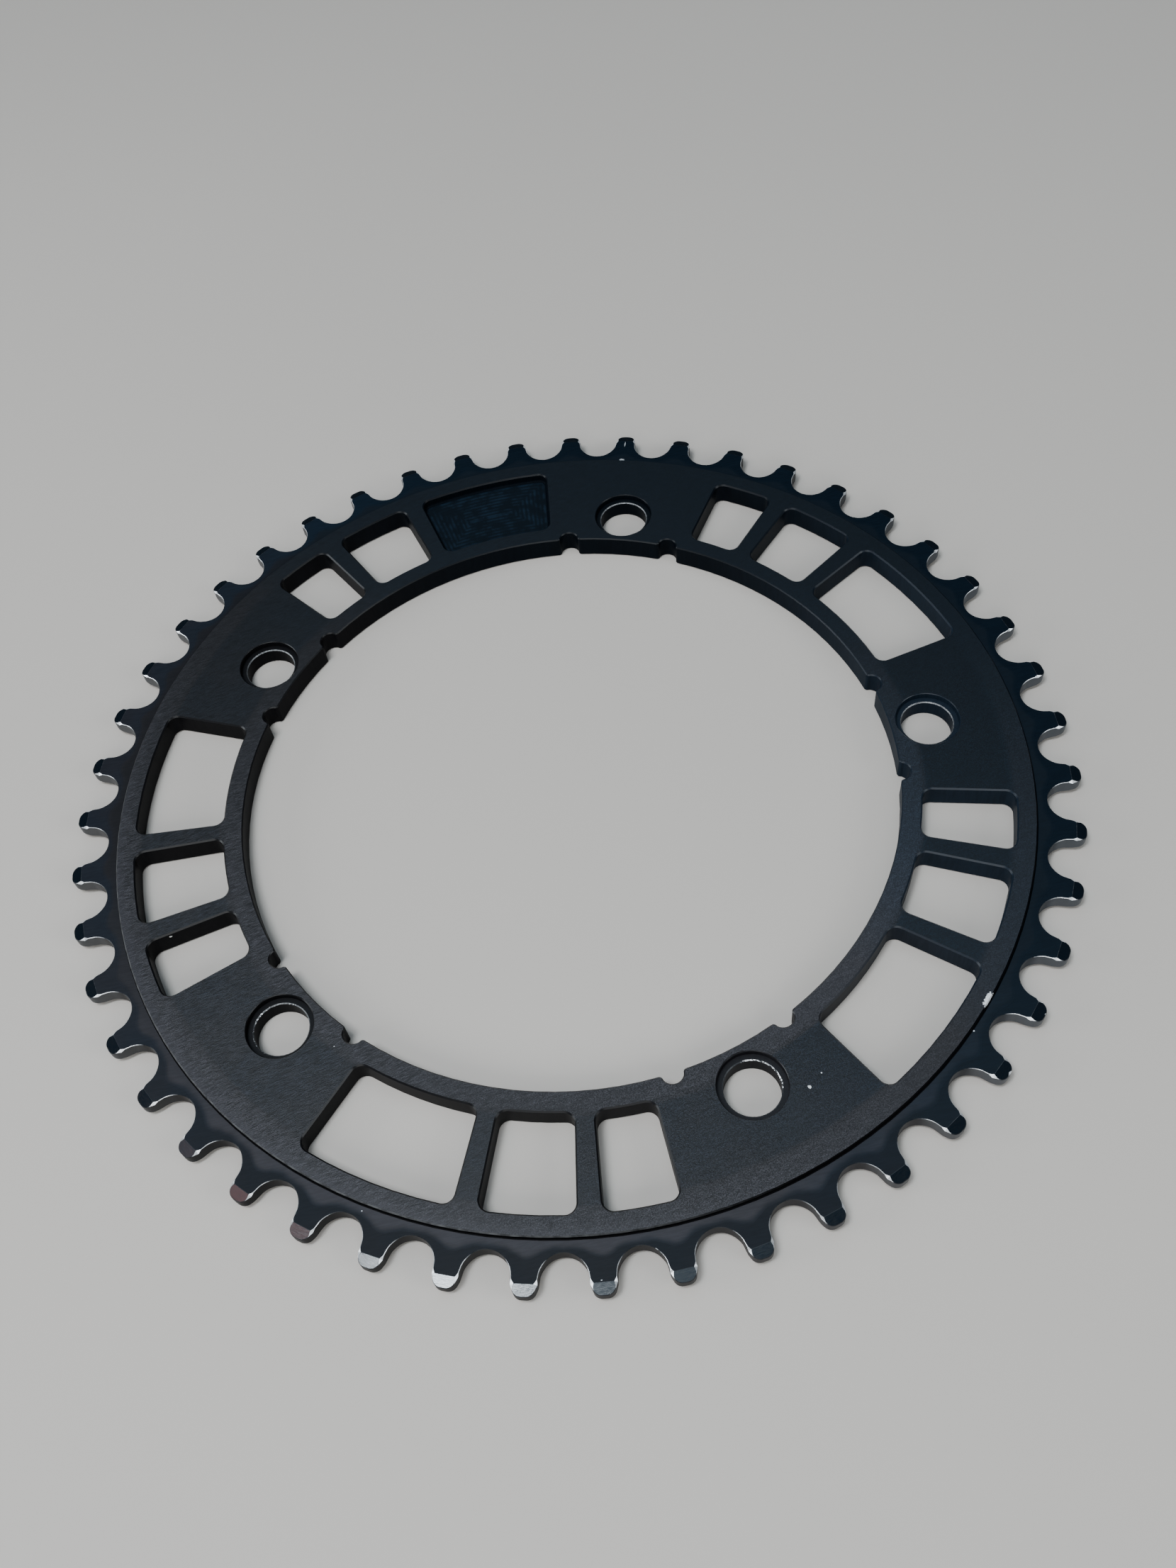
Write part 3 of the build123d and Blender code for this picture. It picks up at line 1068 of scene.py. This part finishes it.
def pocket_floor(finish):
    """Floor of the blind pocket: rows of cutter marks, one inside the other."""
    tree = finish.tree
    place = finish.place("ring_place")
    middle = (WINDOW_INNER + WINDOW_OUTER) / 2
    half_inner_row, row_spacing, warmth = 4.5 * MM, 0.95 * MM, 0.6
    from_middle = calculate(tree, "SUBTRACT", place.outputs["Angle"], POCKET_ANGLE)
    beside = calculate(tree, "ABSOLUTE", product(tree, from_middle, middle))
    up = calculate(tree, "ABSOLUTE", calculate(tree, "SUBTRACT", place.outputs["Radius"], middle))
    lengthwise = calculate(tree, "SUBTRACT", beside, half_inner_row)
    out_of_core = largest(tree, lengthwise, up)
    rows = calculate(tree, "SINE", product(tree, out_of_core, 2 * pi / row_spacing))
    blotches = noise(tree, finish.point, 2.6 * MM, detail=4.0, roughness=0.6)
    faint = ramp(tree, blotches, 0.35, 0.7, 0.1, 1.0)
    marks = product(tree, ramp(tree, rows, -1.0, 1.0, 0.3, 1.0), faint)
    finish.set("Base Color", finish.anodised(warmth, ramp(tree, marks, 0.0, 1.0, 0.9, 2.8)))
    finish.set("Roughness", ramp(tree, marks, 0.0, 1.0, 0.45, 0.35))
    finish.set("Specular IOR Level", 0.15)
    finish.bump(marks, strength=0.3, distance=0.02 * MM)


def ring_materials(colours):
    """Materials of the ring, in the order of its slots."""
    groups = {
        "ring_place": ring_place_group(),
        "strokes": strokes_group(),
        "mill_marks": mill_marks_group(),
        "wall_painted_light": wall_painted_light_group(),
        "flecks": flecks_group(),
        "chip": chip_group(),
        "anodised": anodised_group(colours),
        "worn_metal": worn_metal_group(colours),
    }
    makers = {maker.__name__: maker for maker in
              (satin_face, tooth_band, milled_wall, flank_wall, chamfer, step_edge, tip_facet, worn_edge,
               bolt_edge, bolt_ledge, pocket_floor)}
    materials = []
    for name in FINISHES:
        finish = Finish(name, groups)
        makers[name](finish)
        materials.append(finish.material)
    return materials


# Operators and panel

class CHAINRING_OT_ring(bpy.types.Operator):
    """Builds the ring: a copy of the machined solid with broken edges, rounded tips and worn teeth"""

    bl_idname = "chainring.ring"
    bl_label = "Build Ring"

    def execute(self, context):
        sizes = context.scene.chainring_sizes
        mesh = merged_copy(frame["nodes"]["chainring"])
        round_corners(mesh, sizes)
        split_flanks(mesh, sizes)
        break_plate_edges(mesh, sizes)
        fill_feet(mesh, sizes)
        break_ledges(mesh, sizes)
        break_teeth(mesh, sizes)
        wear_flanks(mesh, sizes)
        mesh.normal_update()
        for face in mesh.faces:
            face.material_index = finish_of(face)
        shade_by_angle(mesh)
        mark_wear(mesh)
        data = bpy.data.meshes.new("ring")
        mesh.to_mesh(data)
        mesh.free()
        for material in ring_materials(context.scene.chainring_colours):
            data.materials.append(material)
        ring = bpy.data.objects.new("ring", data)
        context.scene.collection.objects.link(ring)
        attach(ring, "root")
        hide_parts("chainring")
        return {"FINISHED"}


def soft_box(scene, name, place, size, power, colour):
    """Rectangular light at a place, facing the ring."""
    light = bpy.data.lights.new(name, "AREA")
    light.shape = "RECTANGLE"
    light.size, light.size_y = size
    light.energy = power
    light.color = colour
    lamp = bpy.data.objects.new(name, light)
    lamp.location = place
    lamp.rotation_euler = (-Vector(place)).to_track_quat("-Z", "Y").to_euler()
    scene.collection.objects.link(lamp)


def floor_material(colour):
    """Plain pale floor."""
    material = bpy.data.materials.new("floor")
    material.use_nodes = True
    tree = material.node_tree
    shader = tree.nodes["Principled BSDF"]
    point = tree.nodes.new("ShaderNodeTexCoord").outputs["Object"]
    tone = ramp(tree, noise(tree, point, 0.4), 0.3, 0.7, 0.98, 1.02)
    tree.links.new(scale_colour(tree, colour, tone), shader.inputs["Base Color"])
    shader.inputs["Roughness"].default_value = 0.7
    return material


def add_floor(scene):
    """Wide floor under the ring."""
    half_width = 3.0
    mesh = bmesh.new()
    bmesh.ops.create_grid(mesh, x_segments=1, y_segments=1, size=half_width)
    data = bpy.data.meshes.new("floor")
    mesh.to_mesh(data)
    mesh.free()
    data.materials.append(floor_material(scene.chainring_colours.floor))
    floor = bpy.data.objects.new("floor", data)
    scene.collection.objects.link(floor)


def add_world(scene):
    """Faint bluish light from all sides."""
    world = bpy.data.worlds.new("studio")
    world.use_nodes = True
    background = world.node_tree.nodes["Background"]
    background.inputs["Color"].default_value = (0.72, 0.87, 1.0, 1.0)
    background.inputs["Strength"].default_value = 0.03
    scene.world = world


def add_camera(scene):
    """Camera at the photo's view."""
    camera = bpy.data.cameras.new("camera")
    camera.sensor_width = 36
    camera.lens = 33.13
    camera.clip_start = 0.01
    view = bpy.data.objects.new("camera", camera)
    view.location = (49.61 * MM, -153.64 * MM, 237.63 * MM)
    view.rotation_euler = Euler((radians(34.182), radians(4.769), radians(9.538)))
    scene.collection.objects.link(view)
    scene.camera = view


class CHAINRING_OT_stage(bpy.types.Operator):
    """Sets up the floor, the soft lights and the camera"""

    bl_idname = "chainring.stage"
    bl_label = "Build Stage"

    def execute(self, context):
        scene = context.scene
        add_floor(scene)
        for light in LIGHTS:
            soft_box(scene, *light)
        add_world(scene)
        add_camera(scene)
        return {"FINISHED"}


class CHAINRING_PT_panel(bpy.types.Panel):
    """Lists the steps and settings of the chainring"""

    bl_label = "Chainring"
    bl_idname = "CHAINRING_PT_panel"
    bl_space_type = "VIEW_3D"
    bl_region_type = "UI"
    bl_category = "Chainring"

    def draw(self, context):
        layout = self.layout
        for settings in (context.scene.chainring_sizes, context.scene.chainring_colours):
            column = layout.column()
            for name in settings.__annotations__:
                column.prop(settings, name)
        layout.operator(CHAINRING_OT_ring.bl_idname)
        layout.operator(CHAINRING_OT_stage.bl_idname)


CLASSES = (ChainringSizes, ChainringColours, CHAINRING_OT_ring, CHAINRING_OT_stage, CHAINRING_PT_panel)


def register():
    """Adds the classes and their settings to Blender."""
    for each in CLASSES:
        bpy.utils.register_class(each)
    bpy.types.Scene.chainring_sizes = PointerProperty(type=ChainringSizes)
    bpy.types.Scene.chainring_colours = PointerProperty(type=ChainringColours)


def unregister():
    """Takes the classes and their settings out of Blender."""
    del bpy.types.Scene.chainring_colours
    del bpy.types.Scene.chainring_sizes
    for each in reversed(CLASSES):
        bpy.utils.unregister_class(each)


def main():
    """Builds the ring and its stage."""
    register()
    bpy.ops.chainring.ring()
    bpy.ops.chainring.stage()


if __name__ == "__main__":
    main()
